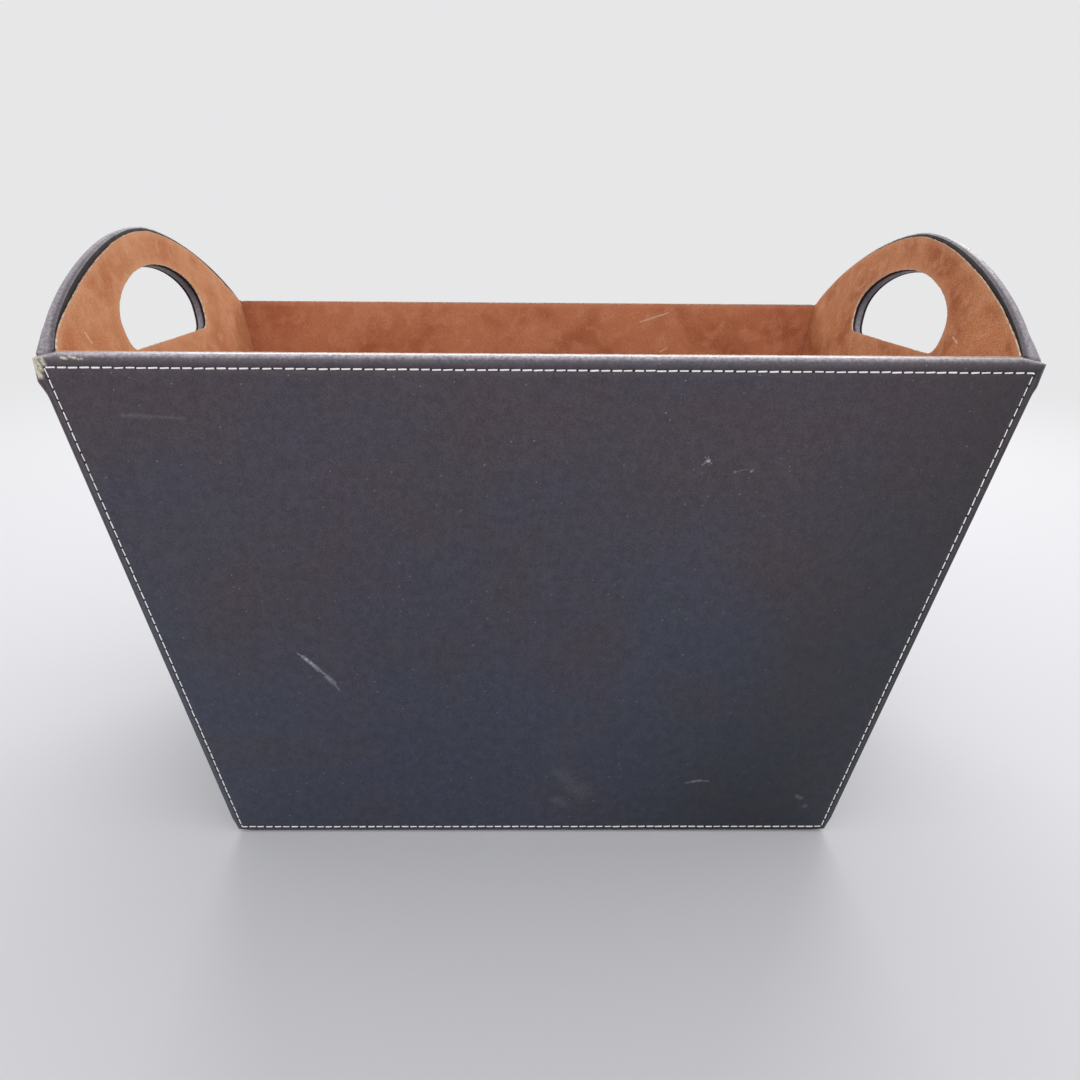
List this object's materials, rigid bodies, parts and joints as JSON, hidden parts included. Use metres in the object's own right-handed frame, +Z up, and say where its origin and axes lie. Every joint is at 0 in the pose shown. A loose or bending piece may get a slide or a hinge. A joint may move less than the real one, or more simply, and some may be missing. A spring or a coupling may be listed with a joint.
{
  "type": "magazine basket",
  "caption": "Open-topped flared magazine basket of leather-wrapped boards with a suede lining, white seam stitching and arched ends with D-shaped hand holes.",
  "frame": {"origin": "on the floor, under the middle of the basket", "axes": "+Z up, +X along the basket from handle to handle, the stitched front faces -Y"},
  "size_m": [0.4358, 0.2604, 0.3123],
  "materials": {
    "black_leather": "smooth, softly worn, dark grey-violet",
    "tan_suede": "napped rust-tan suede with pale raw edges",
    "fibreboard": "raw grey-brown board",
    "white_thread": "twisted waxed thread",
    "underside_cloth": "dark bonded cloth"
  },
  "bodies": {
    "root": {"front_cover": "black_leather", "front_board": "fibreboard", "front_lining": "tan_suede", "front_seam_thread": "white_thread", "back_cover": "black_leather", "back_board": "fibreboard", "back_lining": "tan_suede", "back_seam_thread": "white_thread", "right_end_cover": "black_leather", "right_end_board": "fibreboard", "right_end_lining": "tan_suede", "right_end_seam_thread": "white_thread", "right_hand_hole_facing": "black_leather", "left_end_cover": "black_leather", "left_end_board": "fibreboard", "left_end_lining": "tan_suede", "left_end_seam_thread": "white_thread", "left_hand_hole_facing": "black_leather", "base_board": "fibreboard", "base_lining": "tan_suede", "underside_sheet": "underside_cloth"}
  },
  "joints": []
}
